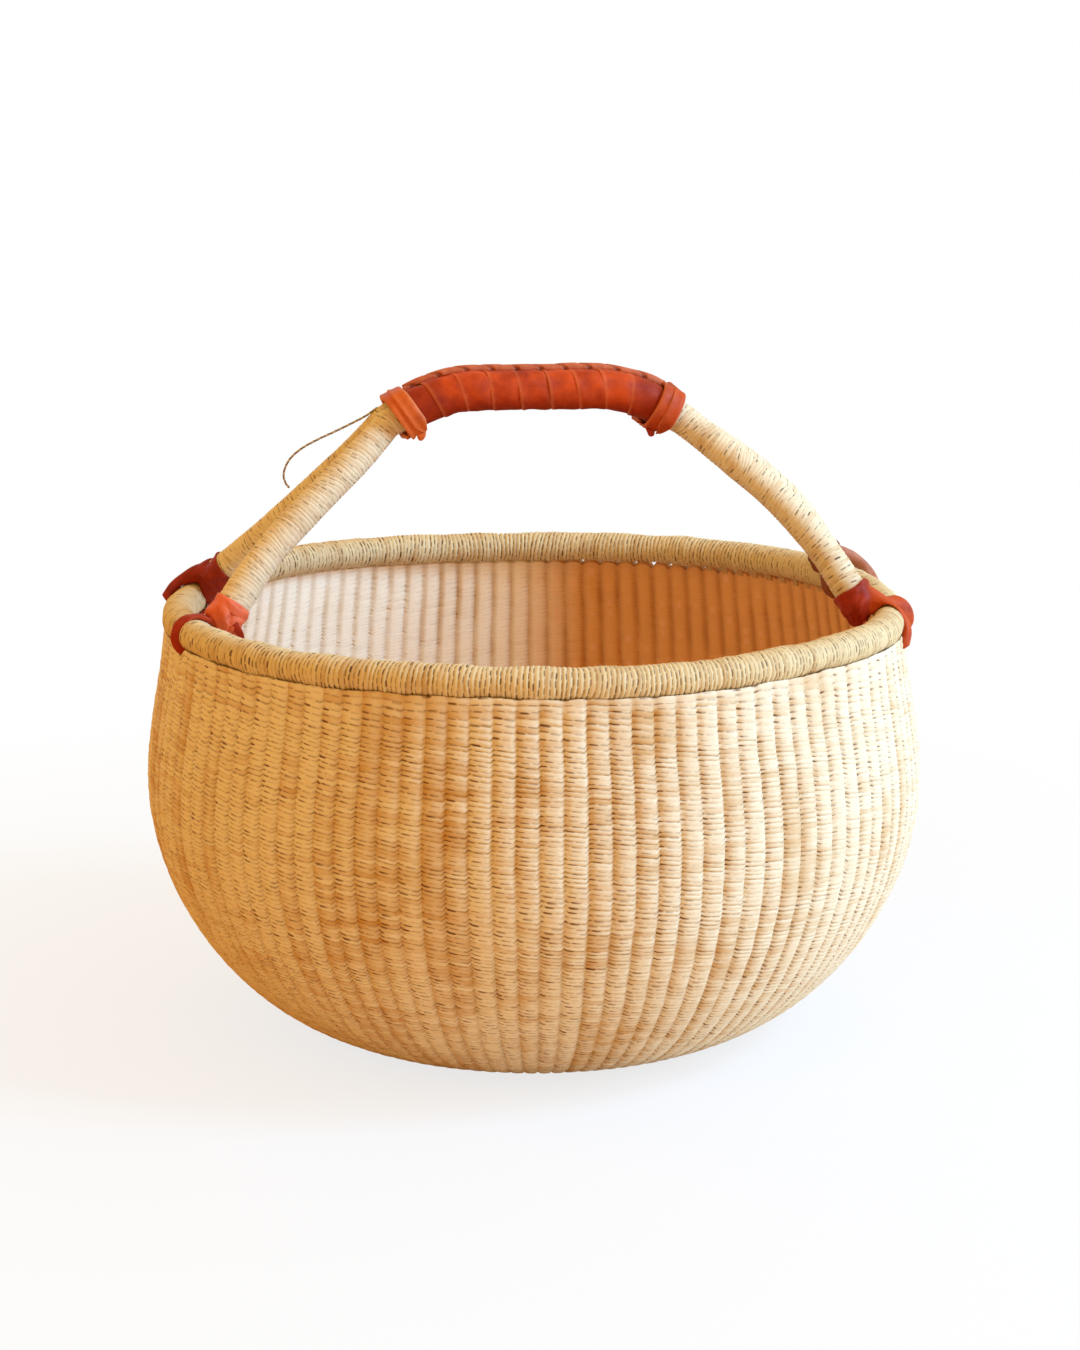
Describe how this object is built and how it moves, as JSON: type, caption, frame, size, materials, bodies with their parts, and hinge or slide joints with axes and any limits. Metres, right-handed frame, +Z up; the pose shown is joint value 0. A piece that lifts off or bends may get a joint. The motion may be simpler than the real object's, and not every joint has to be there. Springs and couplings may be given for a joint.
{
  "type": "woven basket",
  "caption": "Round woven grass basket with a wrapped rim and one fixed leather-bound handle on splayed legs lashed to the rim.",
  "frame": {"origin": "centre of the basket's base, on the floor it stands on", "axes": "+Z up, X along the handle from foot to foot, the front of the basket faces -Y"},
  "size_m": [0.4116, 0.4116, 0.3528],
  "materials": {
    "grip_collar_left": "orange goat leather, satin",
    "grip_collar_right": "orange goat leather, satin",
    "grip_lace": "terracotta goat leather, satin",
    "grip_winding": "terracotta goat leather, satin",
    "handle_core_front": "dry matt grass",
    "handle_core_rear": "dry matt grass",
    "handle_wrap_front": "paler grass binding, dry and matt",
    "handle_wrap_rear": "paler grass binding, dry and matt",
    "hang_string": "undyed twisted twine",
    "leg_cuff_front_left": "terracotta goat leather, satin",
    "leg_cuff_front_right": "terracotta goat leather, satin",
    "leg_cuff_rear_left": "terracotta goat leather, satin",
    "leg_cuff_rear_right": "terracotta goat leather, satin",
    "rim_core": "dry matt grass",
    "rim_strap_front_left": "terracotta goat leather, satin",
    "rim_strap_front_right": "terracotta goat leather, satin",
    "rim_strap_rear_left": "terracotta goat leather, satin",
    "rim_strap_rear_right": "terracotta goat leather, satin",
    "rim_wrap": "paler grass binding, dry and matt",
    "woven_base": "dry matt grass",
    "woven_wall": "dry matt grass"
  },
  "bodies": {
    "basket": {"woven_base": "woven_base", "woven_wall": "woven_wall", "rim_core": "rim_core", "rim_wrap": "rim_wrap", "rim_strap_front_left": "rim_strap_front_left", "rim_strap_front_right": "rim_strap_front_right", "rim_strap_rear_left": "rim_strap_rear_left", "rim_strap_rear_right": "rim_strap_rear_right"},
    "handle": {"handle_core_front": "handle_core_front", "handle_core_rear": "handle_core_rear", "handle_wrap_front": "handle_wrap_front", "handle_wrap_rear": "handle_wrap_rear", "grip_winding": "grip_winding", "grip_lace": "grip_lace", "grip_collar_left": "grip_collar_left", "grip_collar_right": "grip_collar_right", "leg_cuff_front_left": "leg_cuff_front_left", "leg_cuff_front_right": "leg_cuff_front_right", "leg_cuff_rear_left": "leg_cuff_rear_left", "leg_cuff_rear_right": "leg_cuff_rear_right", "hang_string": "hang_string"}
  },
  "joints": [
    {"name": "handle_rock", "type": "hinge", "parent": "basket", "child": "handle", "pos_m": [0, 0, 0.2225], "axis": [1, 0, 0], "range_deg": [-3, 3], "deforming": ["rim_strap_front_left", "rim_strap_front_right", "rim_strap_rear_left", "rim_strap_rear_right"]}
  ]
}
